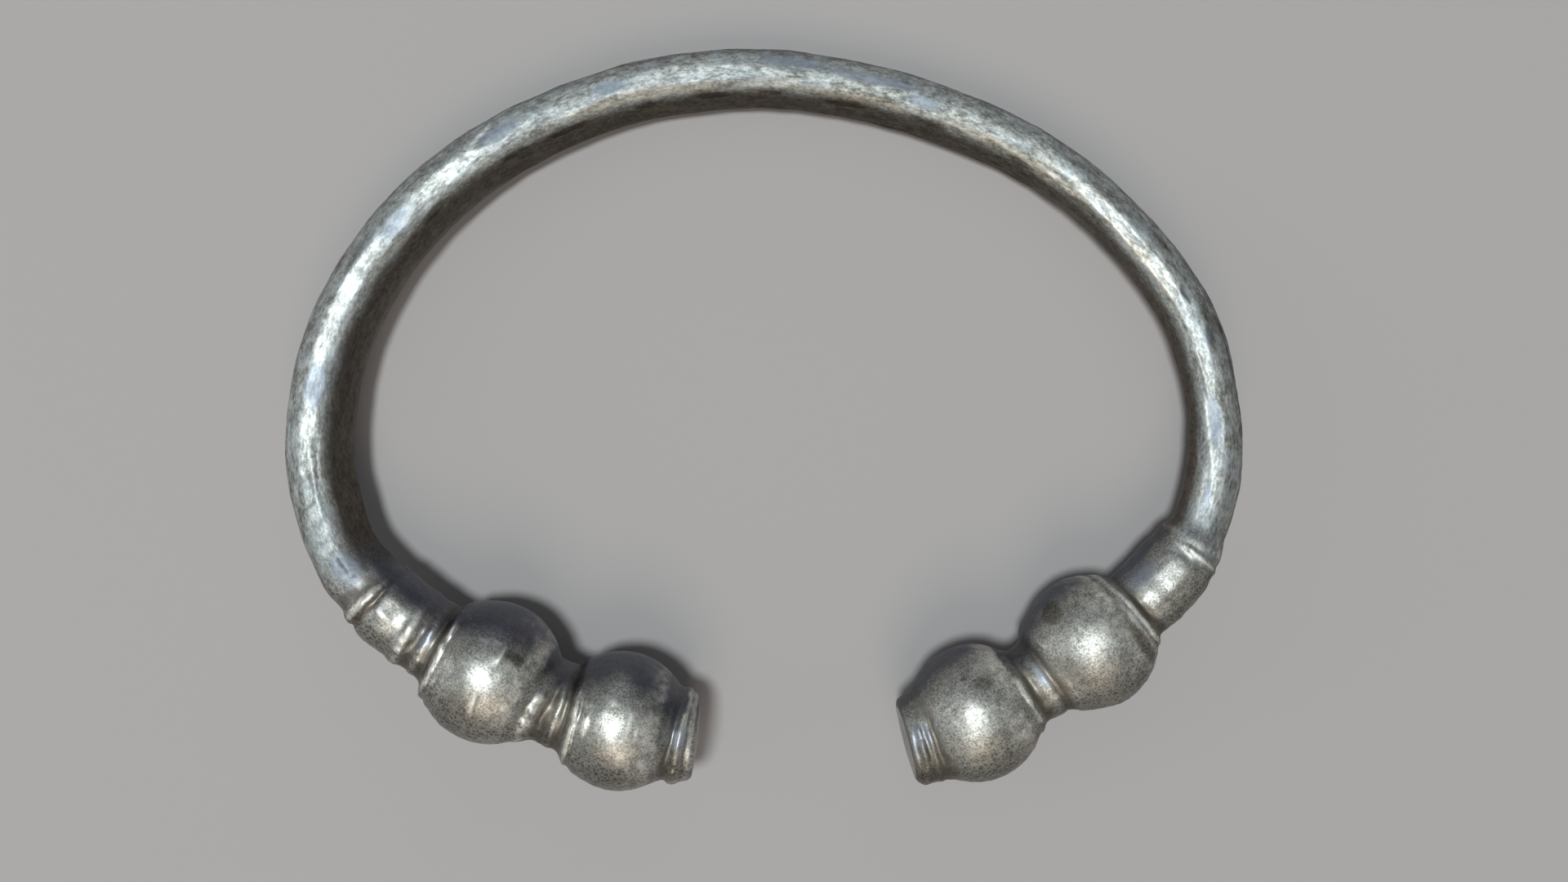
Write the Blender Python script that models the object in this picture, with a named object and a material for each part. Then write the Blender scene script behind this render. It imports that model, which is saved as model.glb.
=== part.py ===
"""Open silver bracelet: one bar bent into an oval hoop, with two round beads and moulded rings at each end.

Metres, +Z up. The bracelet lies on its side, as it does when it is put down. +Y points to the back of the
hoop, and the gap between its two ends is at -Y. The origin is on the table, under the middle of the bounding
box.
"""
import math

import bmesh
import bpy
import numpy as np

MM = 0.001

# Hoop. Its axis is an oval of four quarter ellipses, measured from the oval's centre.
REACH_LEFT = 32.80 * MM
REACH_RIGHT = 36.52 * MM
RISE_TO_BACK = 28.39 * MM
DROP_TO_FRONT = 23.28 * MM
# The hoop ends a little past the oval's widest points, as angles on its quarter ellipses.
PAST_WIDEST_LEFT = 16.8
PAST_WIDEST_RIGHT = 16.0
# Radius of the bar at six places along the hoop, from its left end to its right end.
BAR_RADII = {
    "left_end": 2.41 * MM,
    "left_side": 2.38 * MM,
    "left_of_back": 2.14 * MM,
    "back": 2.19 * MM,
    "right_side": 2.06 * MM,
    "right_end": 2.15 * MM,
}
# Angles on the oval of the four places between the hoop's ends
BAR_RADIUS_ANGLES = {"left_side": 146.0, "left_of_back": 109.0, "back": 90.0, "right_side": 45.0}

# Left terminal, from the hoop's end outwards. A seat is the radius at which a ring sits on a bead.
LEFT = {
    "shoulder_length": 4.30 * MM,
    "barrel_length": 4.33 * MM,
    "cove_length": 2.65 * MM,
    "neck_length": 2.99 * MM,
    "end_cove_length": 0.72 * MM,
    "collar_length": 1.25 * MM,
    "bead_1_radius": 5.45 * MM,
    "bead_2_radius": 5.30 * MM,
    "ring_1_radius": 2.80 * MM,
    "barrel_radius": 3.08 * MM,
    "cove_radius": 3.10 * MM,
    "neck_radius": 3.33 * MM,
    "collar_radius": 3.68 * MM,
    "end_radius": 3.27 * MM,
    "ring_3_seat": 3.33 * MM,
    "ring_4_seat": 3.60 * MM,
    "ring_5_seat": 3.95 * MM,
    "collar_seat": 3.50 * MM,
    "turn_to_ring_1": 19.3,
    "turn_to_ring_3": 16.4,
    "turn_to_ring_4": 4.4,
    "turn_to_ring_5": 11.4,
    "turn_to_collar": 0.4,
    "turn_to_end": 7.9,
}

# Right terminal, which is shorter in the shoulder and more worn.
RIGHT = {
    "shoulder_length": 1.86 * MM,
    "barrel_length": 4.44 * MM,
    "cove_length": 2.33 * MM,
    "neck_length": 3.26 * MM,
    "end_cove_length": 0.51 * MM,
    "collar_length": 2.05 * MM,
    "bead_1_radius": 5.23 * MM,
    "bead_2_radius": 5.28 * MM,
    "ring_1_radius": 2.71 * MM,
    "barrel_radius": 2.98 * MM,
    "cove_radius": 2.95 * MM,
    "neck_radius": 3.15 * MM,
    "collar_radius": 3.79 * MM,
    "end_radius": 3.40 * MM,
    "ring_3_seat": 3.23 * MM,
    "ring_4_seat": 3.97 * MM,
    "ring_5_seat": 3.56 * MM,
    "collar_seat": 4.20 * MM,
    "turn_to_ring_1": 9.6,
    "turn_to_ring_3": 18.9,
    "turn_to_ring_4": 1.2,
    "turn_to_ring_5": 10.7,
    "turn_to_collar": 1.6,
    "turn_to_end": 10.4,
}

# Rings and grooves. The first word of a name is the place that it belongs to, and beyond is its distance
# outwards from there. A height below zero is a groove. A lean above zero moves the side away from the wrist
# towards the end.
LEFT_RINGS = {
    "ring_1": {
        "height": 0.32 * MM,
        "height_at_wrist": 0.10 * MM,
        "half_width": 0.38 * MM,
        "lean": 9.5,
    },
    "ring_2": {
        "height": 0.18 * MM,
        "height_at_wrist": 0.08 * MM,
        "half_width": 0.55 * MM,
        "lean": 4.1,
    },
    "ring_3": {
        "height": 0.52 * MM,
        "height_at_wrist": 0.32 * MM,
        "half_width": 0.42 * MM,
        "lean": 1.4,
    },
    "ring_3 second ridge": {
        "beyond": 1.00 * MM,
        "height": 0.06 * MM,
        "height_at_wrist": 0.02 * MM,
        "half_width": 0.40 * MM,
        "lean": 1.4,
    },
    "ring_4": {
        "height": 0.46 * MM,
        "height_at_wrist": 0.02 * MM,
        "half_width": 0.60 * MM,
        "lean": -3.0,
    },
    "ring_5": {
        "height": 0.50 * MM,
        "height_at_wrist": 0.02 * MM,
        "half_width": 0.42 * MM,
        "lean": -0.5,
    },
    "ring_5 second ridge": {
        "beyond": 0.95 * MM,
        "height": 0.06 * MM,
        "height_at_wrist": 0.02 * MM,
        "half_width": 0.40 * MM,
        "lean": -0.5,
    },
    "collar": {
        "height": 0.20 * MM,
        "height_at_wrist": 0.05 * MM,
        "half_width": 0.36 * MM,
        "lean": 1.7,
    },
    "collar groove": {
        "beyond": 0.55 * MM,
        "height": -0.14 * MM,
        "height_at_wrist": -0.04 * MM,
        "half_width": 0.25 * MM,
        "lean": 1.7,
    },
}
RIGHT_RINGS = {
    "ring_1": {
        "height": 0.08 * MM,
        "height_at_wrist": 0.02 * MM,
        "half_width": 0.38 * MM,
        "lean": 3.9,
    },
    "ring_2": {
        "height": 0.04 * MM,
        "height_at_wrist": 0.01 * MM,
        "half_width": 0.60 * MM,
        "lean": -3.2,
    },
    "ring_3": {
        "height": 0.40 * MM,
        "height_at_wrist": 0.06 * MM,
        "half_width": 0.42 * MM,
        "lean": -4.2,
    },
    "ring_3 second ridge": {
        "beyond": 0.95 * MM,
        "height": 0.05 * MM,
        "height_at_wrist": -0.12 * MM,
        "half_width": 0.40 * MM,
        "lean": -4.2,
    },
    "ring_4": {
        "height": -0.25 * MM,
        "height_at_wrist": 0.40 * MM,
        "half_width": 0.80 * MM,
        "lean": -12.0,
    },
    "ring_5": {
        "height": 0.43 * MM,
        "height_at_wrist": -0.22 * MM,
        "half_width": 0.45 * MM,
        "lean": -4.6,
    },
    "collar": {
        "height": 0.13 * MM,
        "height_at_wrist": 0.02 * MM,
        "half_width": 0.34 * MM,
        "lean": 6.0,
    },
    "collar groove": {
        "beyond": 0.60 * MM,
        "height": -0.17 * MM,
        "height_at_wrist": -0.02 * MM,
        "half_width": 0.28 * MM,
        "lean": 4.0,
    },
    "collar second ridge": {
        "beyond": 1.15 * MM,
        "height": 0.15 * MM,
        "height_at_wrist": 0.03 * MM,
        "half_width": 0.34 * MM,
        "lean": 6.0,
    },
}
# A ring passes from one height to the other between these two shares of the bar's half width. The wrist is at -1.
FADE_NEAR_WRIST = -0.8
FADE_AWAY_FROM_WRIST = -0.1
BLEND_OF_BEADS = 0.50 * MM
END_EDGE_ROUND = 0.45 * MM
END_FACE_DOME = 0.15 * MM

# Small flats are worn where the bracelet touches the table.
WEAR_DEPTH = 0.08 * MM

# Fineness of the faceted surface
SIDES = 20
HOOP_SECTION_COUNT = 60
TERMINAL_SECTION_STEP = 0.37 * MM
END_EDGE_SECTIONS = 3

SILVER_COLOUR = (0.60, 0.58, 0.54, 1.0)
SILVER_ROUGHNESS = 0.36
EDGE_ANGLE = 50.0


def smoothstep(x):
    x = np.clip(x, 0.0, 1.0)
    return x * x * (3.0 - 2.0 * x)


def level_steps(u, places, values):
    """Takes each value at its place, level there, with an S-shaped passage from one to the next."""
    out = np.full_like(u, values[0])
    for near, far, low, high in zip(places, places[1:], values, values[1:]):
        out = np.where(u > near, low + (high - low) * smoothstep((u - near) / (far - near)), out)
    return out


def soft_max(a, b, blend):
    share = np.clip(0.5 + 0.5 * (a - b) / blend, 0.0, 1.0)
    return b * (1.0 - share) + a * share + blend * share * (1.0 - share)


def along_bead(radius, seat):
    """Distance from a bead's middle to where its surface has the radius of the seat."""
    return math.sqrt(max(radius * radius - seat * seat, 0.0))


def places_of(size):
    """Distance of each feature from the hoop's end, along the terminal's axis."""
    at = {"ring_1": size["shoulder_length"]}
    at["barrel"] = at["ring_1"] + size["barrel_length"] / 2
    at["ring_2"] = at["ring_1"] + size["barrel_length"]
    at["cove"] = at["ring_2"] + size["cove_length"] / 2
    at["ring_3"] = at["ring_2"] + size["cove_length"]
    at["bead_1"] = at["ring_3"] + along_bead(size["bead_1_radius"], size["ring_3_seat"])
    at["ring_4"] = at["bead_1"] + along_bead(size["bead_1_radius"], size["ring_4_seat"])
    at["neck"] = at["ring_4"] + size["neck_length"] / 2
    at["ring_5"] = at["ring_4"] + size["neck_length"]
    at["bead_2"] = at["ring_5"] + along_bead(size["bead_2_radius"], size["ring_5_seat"])
    at["bead_2_edge"] = at["bead_2"] + along_bead(size["bead_2_radius"], size["collar_seat"])
    at["collar"] = at["bead_2_edge"] + size["end_cove_length"]
    at["end"] = at["collar"] + size["collar_length"]
    return at


def hoop_axis(angle):
    """Point and direction of the hoop's axis, left to right, at an angle from the right on the oval."""
    reach = REACH_LEFT if math.cos(angle) < 0 else REACH_RIGHT
    rise = RISE_TO_BACK if math.sin(angle) > 0 else DROP_TO_FRONT
    point = (reach * math.cos(angle), rise * math.sin(angle))
    heading = math.atan2(-rise * math.cos(angle), reach * math.sin(angle))
    return point, heading


def bar_radius(angles):
    """Radius of the hoop's bar at angles on the oval, which fall from left to right."""
    first = 180.0 + PAST_WIDEST_LEFT
    places = {"left_end": first, **BAR_RADIUS_ANGLES, "right_end": -PAST_WIDEST_RIGHT}
    passed = [math.radians(first - places[name]) for name in BAR_RADII]
    return level_steps(math.radians(first) - angles, passed, list(BAR_RADII.values()))


def terminal_axis(start, heading, bend, size, u):
    """Points and directions outwards along a terminal, which starts at the hoop's end and goes on bending."""
    at = places_of(size)
    bends = ("ring_1", "ring_3", "ring_4", "ring_5", "collar", "end")
    turned = np.cumsum([0.0] + [size["turn_to_" + name] for name in bends])
    fine = np.linspace(0.0, at["end"], 800)
    headings = heading + bend * np.radians(np.interp(fine, [0.0] + [at[name] for name in bends], turned))
    step = fine[1] - fine[0]
    steps_x = (np.cos(headings[1:]) + np.cos(headings[:-1])) * step / 2
    steps_y = (np.sin(headings[1:]) + np.sin(headings[:-1])) * step / 2
    x = start[0] + np.concatenate([[0.0], np.cumsum(steps_x)])
    y = start[1] + np.concatenate([[0.0], np.cumsum(steps_y)])
    return np.interp(u, fine, x), np.interp(u, fine, y), np.interp(u, fine, headings)


def terminal_radii(u, size, rings, hoop_end_radius, around):
    """Radius at distances u along the terminal, a column for each angle around it. 0 is away from the wrist."""
    at = places_of(size)
    names = ("ring_1", "barrel", "cove", "neck", "collar", "end")
    places = [0.0] + [at[name] for name in names]
    values = [hoop_end_radius] + [size[name + "_radius"] for name in names]
    core = level_steps(u, places, values)
    for bead in ("bead_1", "bead_2"):
        reach = size[bead + "_radius"] ** 2 - (u - at[bead]) ** 2
        core = soft_max(core, np.sqrt(np.maximum(reach, 0.0)), BLEND_OF_BEADS)
    radii = np.repeat(core[:, None], len(around), axis=1)
    outwards = np.cos(around)[None, :]
    faded = smoothstep((outwards - FADE_NEAR_WRIST) / (FADE_AWAY_FROM_WRIST - FADE_NEAR_WRIST))
    for name, ring in rings.items():
        place = at[name.split()[0]] + ring.get("beyond", 0.0)
        middle = place + math.tan(math.radians(ring["lean"])) * core[:, None] * outwards
        height = ring["height_at_wrist"] + (ring["height"] - ring["height_at_wrist"]) * faded
        radii = radii + height * np.exp(-(((u[:, None] - middle) / ring["half_width"]) ** 2))
    return radii


def terminal_sections(start, heading, bend, size, rings, hoop_end_radius, around):
    """Sections from the hoop's end to the end face: x, y, outward direction and radii."""
    end = places_of(size)["end"]
    straight = end - END_EDGE_ROUND
    count = math.ceil(straight / TERMINAL_SECTION_STEP)
    u = np.linspace(0.0, straight, count + 1)[1:]
    inset = np.zeros_like(u)
    steps = np.radians(np.linspace(0.0, 90.0, END_EDGE_SECTIONS + 1)[1:])
    u = np.concatenate([u, straight + END_EDGE_ROUND * np.sin(steps)])
    inset = np.concatenate([inset, END_EDGE_ROUND * (1.0 - np.cos(steps))])
    x, y, headings = terminal_axis(start, heading, bend, size, u)
    radii = terminal_radii(u, size, rings, hoop_end_radius, around) - inset[:, None]
    return x, y, headings, radii


def all_sections(around):
    """Every section from the left end face round the back to the right one, with directions left to right."""
    first = math.radians(180.0 + PAST_WIDEST_LEFT)
    last = math.radians(-PAST_WIDEST_RIGHT)
    angles = np.linspace(first, last, HOOP_SECTION_COUNT)
    hoop = [hoop_axis(angle) for angle in angles]
    hoop_x = np.array([point[0] for point, heading in hoop])
    hoop_y = np.array([point[1] for point, heading in hoop])
    hoop_heading = np.unwrap([heading for point, heading in hoop])
    hoop_radii = np.repeat(bar_radius(angles)[:, None], len(around), axis=1)

    left_start = (hoop_x[0], hoop_y[0])
    right_start = (hoop_x[-1], hoop_y[-1])
    left_outwards = hoop_heading[0] + math.pi
    left_radius = BAR_RADII["left_end"]
    right_radius = BAR_RADII["right_end"]
    left = terminal_sections(left_start, left_outwards, 1, LEFT, LEFT_RINGS, left_radius, around)
    right = terminal_sections(right_start, hoop_heading[-1], -1, RIGHT, RIGHT_RINGS, right_radius, around)
    x = np.concatenate([left[0][::-1], hoop_x, right[0]])
    y = np.concatenate([left[1][::-1], hoop_y, right[1]])
    heading = np.concatenate([left[2][::-1] - math.pi, hoop_heading, right[2]])
    radii = np.concatenate([left[3][::-1], hoop_radii, right[3]])
    return x, y, heading, radii


def bead_balls(start, heading, bend, size):
    """Middle and radius of a terminal's two beads, in the bracelet's own plane."""
    at = places_of(size)
    u = np.array([at["bead_1"], at["bead_2"]])
    x, y, headings = terminal_axis(start, heading, bend, size, u)
    return [(x[i], y[i], size[f"bead_{i + 1}_radius"]) for i in range(2)]


def resting_plane():
    """Downward direction and reach of the plane that a bead on each side and the back of the hoop touch."""
    left_point, left_heading = hoop_axis(math.radians(180.0 + PAST_WIDEST_LEFT))
    right_point, right_heading = hoop_axis(math.radians(-PAST_WIDEST_RIGHT))
    left_beads = bead_balls(left_point, left_heading + math.pi, 1, LEFT)
    right_beads = bead_balls(right_point, right_heading, -1, RIGHT)
    back = (0.0, RISE_TO_BACK, BAR_RADII["back"])
    balls = left_beads + right_beads + [back]
    best = None
    for left in left_beads:
        for right in right_beads:
            touching = np.array([left, right, back])
            rows = np.column_stack([touching[:, 0], touching[:, 1], -np.ones(3)])
            across, along, reach = np.linalg.solve(rows, -touching[:, 2])
            overshoot = max(across * x + along * y + radius - reach for x, y, radius in balls)
            if best is None or overshoot < best[0]:
                best = (overshoot, across, along, reach)
    overshoot, across, along, reach = best
    down = np.array([across, along, -math.sqrt(1.0 - across * across - along * along)])
    return down, reach


def laid_down(points):
    """Turns the bracelet from its own plane until it rests on the table, sunk in by the depth of the wear."""
    down, reach = resting_plane()
    up = -down
    right = np.cross([0.0, 1.0, 0.0], up)
    right = right / np.linalg.norm(right)
    back = np.cross(up, right)
    turned = points @ np.array([right, back, up]).T
    turned[:, 2] += reach - WEAR_DEPTH
    return turned


def silver():
    material = bpy.data.materials.new("silver")
    material.use_nodes = True
    shader = material.node_tree.nodes["Principled BSDF"]
    shader.inputs["Base Color"].default_value = SILVER_COLOUR
    shader.inputs["Metallic"].default_value = 1.0
    shader.inputs["Roughness"].default_value = SILVER_ROUGHNESS
    material.diffuse_color = SILVER_COLOUR
    return material


def bracelet():
    """Lofts the bar through its sections, closes both ends, lays it down and wears its underside flat."""
    around = np.linspace(0.0, 2 * math.pi, SIDES, endpoint=False)
    x, y, heading, radii = all_sections(around)
    out_x, out_y = -np.sin(heading), np.cos(heading)
    points = np.empty((len(x), SIDES, 3))
    points[:, :, 0] = x[:, None] + out_x[:, None] * radii * np.cos(around)
    points[:, :, 1] = y[:, None] + out_y[:, None] * radii * np.cos(around)
    points[:, :, 2] = radii * np.sin(around)
    domes = np.column_stack([np.cos(heading), np.sin(heading)]) * END_FACE_DOME
    left_tip = (x[0] - domes[0, 0], y[0] - domes[0, 1], 0.0)
    right_tip = (x[-1] + domes[-1, 0], y[-1] + domes[-1, 1], 0.0)
    flat = np.concatenate([points.reshape(-1, 3), [left_tip, right_tip]])
    placed = laid_down(flat)
    middle = (placed.min(axis=0) + placed.max(axis=0)) / 2
    placed[:, 0] -= middle[0]
    placed[:, 1] -= middle[1]

    shape = bmesh.new()
    corners = [shape.verts.new(point) for point in placed]
    rows = [corners[i * SIDES:(i + 1) * SIDES] for i in range(len(x))]
    for near, far in zip(rows, rows[1:]):
        for i in range(SIDES):
            j = (i + 1) % SIDES
            shape.faces.new((near[i], near[j], far[j], far[i]))
    for row, tip in ((rows[0], corners[-2]), (rows[-1], corners[-1])):
        for i in range(SIDES):
            shape.faces.new((row[i], row[(i + 1) % SIDES], tip))
    bmesh.ops.recalc_face_normals(shape, faces=shape.faces)
    everything = list(shape.verts) + list(shape.edges) + list(shape.faces)
    table = {"plane_co": (0, 0, 0), "plane_no": (0, 0, 1)}
    cut = bmesh.ops.bisect_plane(shape, geom=everything, clear_inner=True, **table)
    cut_edges = [item for item in cut["geom_cut"] if isinstance(item, bmesh.types.BMEdge)]
    bmesh.ops.holes_fill(shape, edges=cut_edges, sides=0)
    bmesh.ops.recalc_face_normals(shape, faces=shape.faces)

    mesh = bpy.data.meshes.new("bracelet")
    shape.to_mesh(mesh)
    shape.free()
    mesh.shade_smooth()
    mesh.set_sharp_from_angle(angle=math.radians(EDGE_ANGLE))
    mesh.materials.append(silver())
    piece = bpy.data.objects.new("bracelet", mesh)
    bpy.context.collection.objects.link(piece)
    return piece


for old in list(bpy.data.objects):
    bpy.data.objects.remove(old, do_unlink=True)
bracelet()
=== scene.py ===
"""The silver bracelet's looks: one fine mesh with its wear, tarnished silver, light and camera."""
import math

import bpy
import numpy as np
from mathutils import Matrix, Vector


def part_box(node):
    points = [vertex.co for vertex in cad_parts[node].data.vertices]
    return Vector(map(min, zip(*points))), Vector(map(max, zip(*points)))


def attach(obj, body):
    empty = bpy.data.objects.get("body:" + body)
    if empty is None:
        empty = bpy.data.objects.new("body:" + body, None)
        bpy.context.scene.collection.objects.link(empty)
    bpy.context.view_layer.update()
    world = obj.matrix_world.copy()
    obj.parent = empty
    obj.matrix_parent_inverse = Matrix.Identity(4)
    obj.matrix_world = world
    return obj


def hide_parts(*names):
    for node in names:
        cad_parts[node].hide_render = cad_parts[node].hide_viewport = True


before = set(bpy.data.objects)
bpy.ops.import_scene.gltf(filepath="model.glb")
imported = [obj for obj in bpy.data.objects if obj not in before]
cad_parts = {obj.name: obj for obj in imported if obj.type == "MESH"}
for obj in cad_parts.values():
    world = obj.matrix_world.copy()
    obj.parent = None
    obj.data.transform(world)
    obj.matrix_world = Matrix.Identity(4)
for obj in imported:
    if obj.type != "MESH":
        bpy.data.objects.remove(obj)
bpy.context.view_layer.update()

MM = 0.001

# Hoop. Its axis is an oval of four quarter ellipses, measured from the oval's centre.
REACH_LEFT = 32.80 * MM
REACH_RIGHT = 36.52 * MM
RISE_TO_BACK = 28.39 * MM
DROP_TO_FRONT = 23.28 * MM
# The hoop ends a little past the oval's widest points, as angles on its quarter ellipses
LEFT_END_ANGLE = 180.0 + 16.8
RIGHT_END_ANGLE = -16.0
BACK_ANGLE = 90.0
# Radius of the bar at six angles on the oval, from the hoop's left end to its right end
BAR_RADII = {
    LEFT_END_ANGLE: 2.41 * MM, 146.0: 2.38 * MM, 109.0: 2.14 * MM,
    BACK_ANGLE: 2.19 * MM, 45.0: 2.06 * MM, RIGHT_END_ANGLE: 2.15 * MM,
}

# Left and right terminal, from the hoop's end outwards: lengths and radii in millimetres, turns in degrees.
# A seat is the radius at which a ring sits on a bead.
TERMINALS = {
    "shoulder_length": (4.30, 1.86),
    "barrel_length": (4.33, 4.44),
    "cove_length": (2.65, 2.33),
    "neck_length": (2.99, 3.26),
    "end_cove_length": (0.72, 0.51),
    "collar_length": (1.25, 2.05),
    "bead_1_radius": (5.45, 5.23),
    "bead_2_radius": (5.30, 5.28),
    "ring_1_radius": (2.80, 2.71),
    "barrel_radius": (3.08, 2.98),
    "cove_radius": (3.10, 2.95),
    "neck_radius": (3.33, 3.15),
    "collar_radius": (3.68, 3.79),
    "end_radius": (3.27, 3.40),
    "ring_3_seat": (3.33, 3.23),
    "ring_4_seat": (3.60, 3.97),
    "ring_5_seat": (3.95, 3.56),
    "collar_seat": (3.50, 4.20),
    "turn_to_ring_1": (19.3, 9.6),
    "turn_to_ring_3": (16.4, 18.9),
    "turn_to_ring_4": (4.4, 1.2),
    "turn_to_ring_5": (11.4, 10.7),
    "turn_to_collar": (0.4, 1.6),
    "turn_to_end": (7.9, 10.4),
}
LEFT, RIGHT = [
    {name: sizes[side] * (1.0 if name.startswith("turn_") else MM) for name, sizes in TERMINALS.items()}
    for side in (0, 1)
]

# Rings, ridges and grooves: distance outwards from the hoop's end, height away from the wrist, height at
# the wrist, half width, lean in degrees, and the power of the profile: about 1.5 is a sharp ridge, 4 a flat
# band. A height below zero is a groove. Here and in the tables below, places and sizes are in millimetres.
LEFT_RINGS = {
    "shoulder hollow": (3.75, -0.26, -0.02, 0.75, 4, 2),
    "ring 1": (4.92, 0.34, 0.10, 0.42, -2, 4),
    "ring 1 groove": (5.50, -0.16, -0.03, 0.20, -2, 2),
    "barrel": (6.65, 0.15, 0.02, 1.00, 0, 2),
    "ring 2 edge": (8.45, 0.10, 0.03, 0.18, 2, 1.6),
    "ring 2": (8.90, 0.22, 0.06, 0.38, 2, 4),
    "ring 2 groove": (9.75, -0.16, -0.03, 0.36, 2, 2),
    "cove ridge": (10.38, 0.15, 0.02, 0.28, 2, 1.8),
    "ring 3 groove": (11.08, -0.12, -0.01, 0.17, 1.4, 2),
    "ring 3": (11.68, 0.44, 0.20, 0.26, 1.4, 1.7),
    "ring 3 second groove": (12.05, -0.06, -0.01, 0.16, 1.4, 2),
    "ring 3 second ridge": (12.42, 0.13, 0.02, 0.22, 1.4, 1.6),
    "ring 4": (19.95, 0.46, 0.02, 0.42, -3, 2.6),
    "ring 4 groove": (20.75, -0.14, -0.02, 0.30, -3, 2),
    "neck ridge": (21.52, 0.15, 0.02, 0.22, -1, 1.6),
    "neck groove": (22.15, -0.12, -0.02, 0.26, -1, 2),
    "ring 5": (22.78, 0.46, 0.02, 0.26, -0.5, 1.8),
    "ring 5 second groove": (23.22, -0.06, -0.01, 0.16, -0.5, 2),
    "ring 5 second ridge": (23.62, 0.14, 0.02, 0.22, -0.5, 1.6),
    "collar groove": (30.22, -0.16, -0.04, 0.28, 1.7, 2),
    "collar": (30.88, 0.22, 0.05, 0.32, 1.7, 2.6),
    "rim groove": (31.40, -0.14, -0.04, 0.18, 1.7, 2),
}
RIGHT_RINGS = {
    "ring 1 groove": (1.92, -0.06, -0.02, 0.26, 3, 2),
    "ring 1": (2.36, 0.15, 0.02, 0.20, 3, 1.7),
    "ring 1 outer groove": (2.95, -0.08, -0.02, 0.34, 2, 2),
    "barrel": (5.30, 0.07, 0.02, 1.20, 0, 2),
    "barrel dip": (5.85, -0.015, -0.01, 0.34, -3, 2),
    "ring 2": (6.65, 0.05, 0.02, 0.45, -3, 2),
    "ring 3 groove": (8.05, -0.14, -0.03, 0.32, -4, 2),
    "ring 3": (8.80, 0.31, 0.06, 0.26, -4.2, 1.7),
    "ring 3 second groove": (9.15, -0.05, -0.02, 0.14, -4.2, 2),
    "ring 3 second ridge": (9.42, 0.10, -0.08, 0.20, -4.2, 1.8),
    "ring 4": (15.90, -0.14, 0.40, 0.80, -12, 2),
    "neck ridge": (16.55, 0.09, 0.02, 0.28, -2, 2),
    "neck second ridge": (17.58, 0.12, 0.02, 0.30, -2, 2),
    "ring 5 groove": (18.60, -0.14, -0.04, 0.34, -3, 2),
    "ring 5": (19.36, 0.30, -0.14, 0.24, -4.6, 1.8),
    "collar groove": (27.08, -0.18, -0.03, 0.24, 4, 2),
    "collar": (27.45, 0.14, 0.02, 0.18, 5, 1.8),
    "collar second groove": (27.78, -0.14, -0.02, 0.18, 4, 2),
    "collar second ridge": (28.20, 0.20, 0.03, 0.26, 6, 2.4),
    "rim groove": (28.55, -0.08, -0.02, 0.14, 6, 2),
}
# A ring passes from one height to the other between these shares of the bar's half width: -1 is the wrist
FADE_NEAR_WRIST = -0.8
FADE_AWAY_FROM_WRIST = -0.1
# Rings are worn lower where they stand out furthest, from this share of the bar's half width
OUTER_WEAR_OF_RINGS = 0.40
OUTER_WEAR_START = 0.6
# Rings wander along the bar and vary in height round it, in broad and in fine waves. Each has its first
# seed, its number of waves in a turn, and its size.
BROAD_WANDER_OF_RINGS = (60, 3.5, 0.06 * MM)
FINE_WANDER_OF_RINGS = (40, 11.0, 0.03 * MM)
BROAD_WEAR_OF_RINGS = (80, 5.0, 0.22)
FINE_WEAR_OF_RINGS = (100, 16.0, 0.20)
FINE_WEAR_OF_GROOVES = (100, 16.0, 0.03)
BLEND_OF_BEADS = 0.50 * MM
END_EDGE_ROUND = 0.45 * MM
END_FACE_DOME = 0.15 * MM
WEAR_DEPTH = 0.08 * MM

# Fineness of the surface
SIDES = 120
HOOP_SECTION_COUNT = 400
TERMINAL_SECTION_STEP = 0.165 * MM
END_EDGE_SECTIONS = 6
END_FACE_RINGS = 8
AXIS_POINTS = 800

# Gentle swells and flats of the bar. Each is its place along the hoop from the hoop's left end, the
# direction that it moves the bar in (degrees round the bar, 0 away from the wrist, 90 up), its height and
# its half length.
BAR_BENDS = (
    (3, 180, 0.10, 2), (15.5, 0, 0.08, 3.5), (39.5, 180, 0.08, 4.5), (48, 0, 0.08, 3),
    (56.5, 0, 0.17, 4.5), (71.5, 180, 0.13, 4), (86.5, 180, 0.08, 4.5), (96.5, 0, 0.18, 3.2),
    (107.5, 180, 0.12, 3.5),
)
# Thin places: distance from the hoop's left end, depth and half length
BAR_THIN_PLACES = ((62.0, 0.05, 5.0), (102.5, 0.14, 3.0))

# The bar's section leans: its upper side is fuller away from the wrist and flatter towards it. At each
# place along the hoop, by how many degrees the top's slope is turned.
SECTION_LEANS = {
    -5: 0, 0: 10, 5: 11, 14: 13, 24: 9, 36: 11, 50: 9, 58: 7, 64: 5, 72: 7, 80: 6, 88: 1, 96: 0,
    113: 0,
}

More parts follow.
